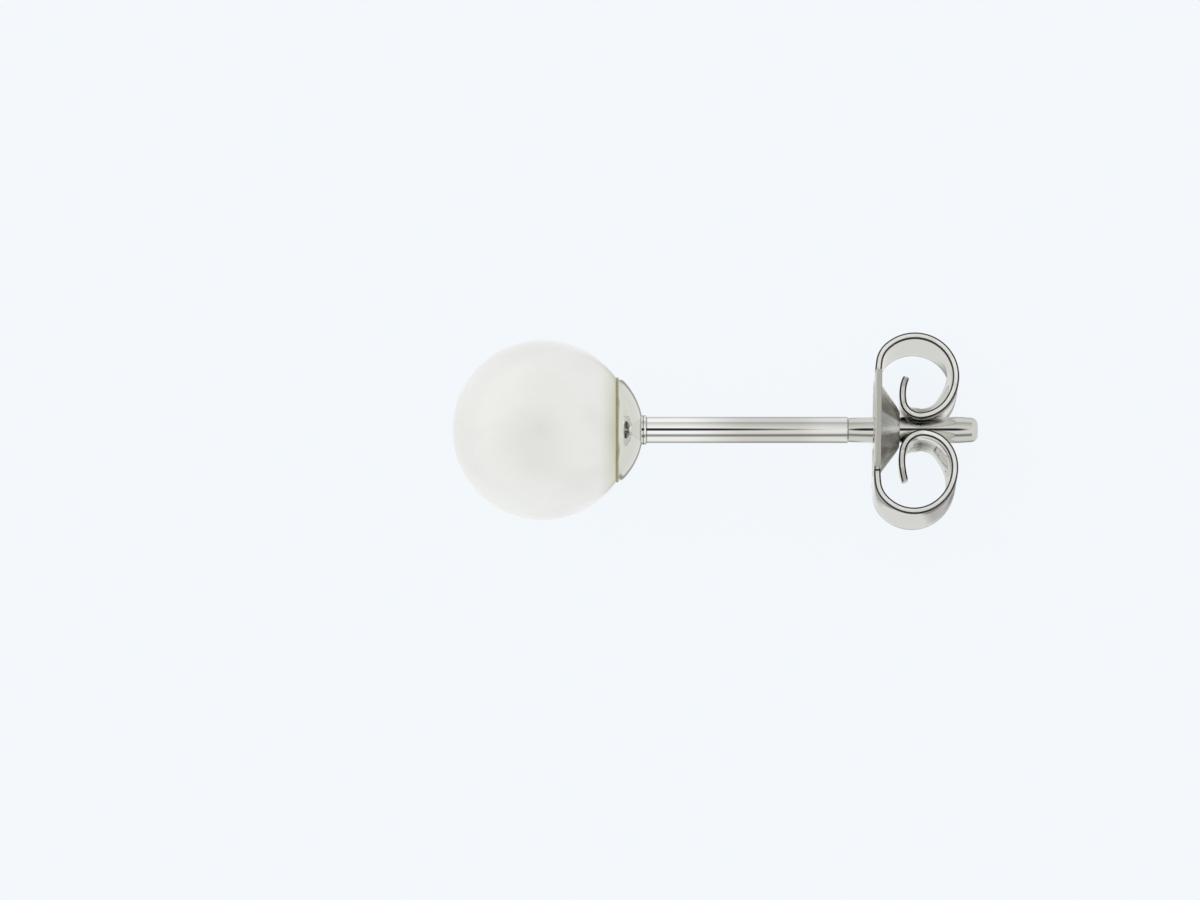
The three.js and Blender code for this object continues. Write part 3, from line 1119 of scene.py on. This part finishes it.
class EARRING_OT_pearl(bpy.types.Operator):
    """Make the half-drilled pearl"""

    bl_idname = "earring.pearl"
    bl_label = "Pearl"

    def execute(self, context):
        settings = context.scene.earring_pearl
        material = nacre(settings, context.scene.earring_setting)
        made = piece(pearl_mesh(in_millimetres(settings)), "round_pearl", stud_place(), [material])
        made.data.set_sharp_from_angle(angle=SMOOTH_ANGLE)
        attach(made, "stud")
        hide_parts("pearl")
        return {"FINISHED"}


class EARRING_OT_setting(bpy.types.Operator):
    """Make the cup with its peg, solder collar and notched post"""

    bl_idname = "earring.setting"
    bl_label = "Cup and post"

    def execute(self, context):
        settings = context.scene.earring_setting
        bm = setting_mesh(in_millimetres(settings), pearl_radius())
        cup_back = pearl_radius() + settings.back_thickness / MM
        metal = polished_metal(settings, cup_back, cup_back + settings.collar_length / MM)
        made = piece(bm, "cup_with_post", stud_place(), [metal])
        made.data.set_sharp_from_angle(angle=SMOOTH_ANGLE)
        keep_flats_flat(made, True)
        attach(made, "stud")
        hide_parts("cup_and_post")
        return {"FINISHED"}


class EARRING_OT_cement(bpy.types.Operator):
    """Make the line of cement at the cup's rim"""

    bl_idname = "earring.cement"
    bl_label = "Cement line"

    def execute(self, context):
        settings = context.scene.earring_setting
        bm = cement_mesh(in_millimetres(settings), pearl_radius())
        made = piece(bm, "cement_line", stud_place(), [set_cement(settings)])
        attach(made, "stud")
        return {"FINISHED"}


class EARRING_OT_clutch(bpy.types.Operator):
    """Make the butterfly clutch from one bent sheet"""

    bl_idname = "earring.clutch"
    bl_label = "Butterfly clutch"

    def execute(self, context):
        settings = context.scene.earring_clutch
        sizes = in_millimetres(settings)
        setting = in_millimetres(context.scene.earring_setting)
        sizes.post_radius = setting.post_diameter / 2
        sizes.lower_longer = settings.lower_longer
        bm, nearest = clutch_sheet(sizes)
        tip = pearl_radius() + setting.back_thickness + setting.post_length
        grip = Matrix.Translation((tip - sizes.from_tip + nearest.x, 0, 0))
        lean = Matrix.Rotation(-settings.lean, 4, "Z")
        place = stud_place() @ grip @ lean @ Matrix.Translation((-nearest.x, 0, 0))
        materials = [
            sheet_metal(settings),
            cut_metal("Sheared edge metal", settings.cut, 0.3, 0.4),
            # The shear corners are painted near black as a dark reflection
            cut_metal("Shear corner metal", settings.corner_metal, 0.2, 1.0),
            drawn_metal(settings),
        ]
        made = piece(bm, "bent_sheet_clutch", Matrix.Identity(4), materials)
        thicken_sheet(made, sizes)
        made.data.transform(place)
        keep_flats_flat(made, False)
        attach(made, "clutch")
        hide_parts("butterfly_clutch")
        return {"FINISHED"}


class EARRING_OT_stage(bpy.types.Operator):
    """Set up the table, the light tent and the camera"""

    bl_idname = "earring.stage"
    bl_label = "Table, light and camera"

    def execute(self, context):
        scene = context.scene
        settings = scene.earring_studio
        bm = bmesh.new()
        bmesh.ops.create_grid(bm, x_segments=8, y_segments=8, size=settings.table_reach)
        table = piece(bm, "table", Matrix.Identity(4), [lit_table(settings)])

        turn = stud_place().to_quaternion()
        scene.camera = new_camera(settings, turn)
        scene.collection.objects.link(scene.camera)
        lens_place = leaning(turn, settings.looks_down - settings.lens_offset)
        scene.world = light_tent(settings, lens_place, turn @ Vector((1, 0, 0)))
        scene.view_settings.view_transform = "Standard"
        return {"FINISHED"}


class EARRING_PT_sidebar(bpy.types.Panel):
    """Lists the pieces of the earring"""

    bl_idname = "EARRING_PT_sidebar"
    bl_label = "Pearl stud earring"
    bl_space_type = "VIEW_3D"
    bl_region_type = "UI"
    bl_category = "Earring"

    def draw(self, context):
        for operator in OPERATORS:
            self.layout.operator(operator.bl_idname)


OPERATORS = (
    EARRING_OT_pearl,
    EARRING_OT_setting,
    EARRING_OT_cement,
    EARRING_OT_clutch,
    EARRING_OT_stage,
)
CLASSES = (*SETTINGS.values(), *OPERATORS, EARRING_PT_sidebar)


def register():
    for cls in CLASSES:
        bpy.utils.register_class(cls)
    for name, group in SETTINGS.items():
        setattr(bpy.types.Scene, name, PointerProperty(type=group))


def unregister():
    for name in SETTINGS:
        delattr(bpy.types.Scene, name)
    for cls in reversed(CLASSES):
        bpy.utils.unregister_class(cls)


def main():
    register()
    bpy.ops.earring.pearl()
    bpy.ops.earring.setting()
    bpy.ops.earring.cement()
    bpy.ops.earring.clutch()
    bpy.ops.earring.stage()


if __name__ == "__main__":
    main()
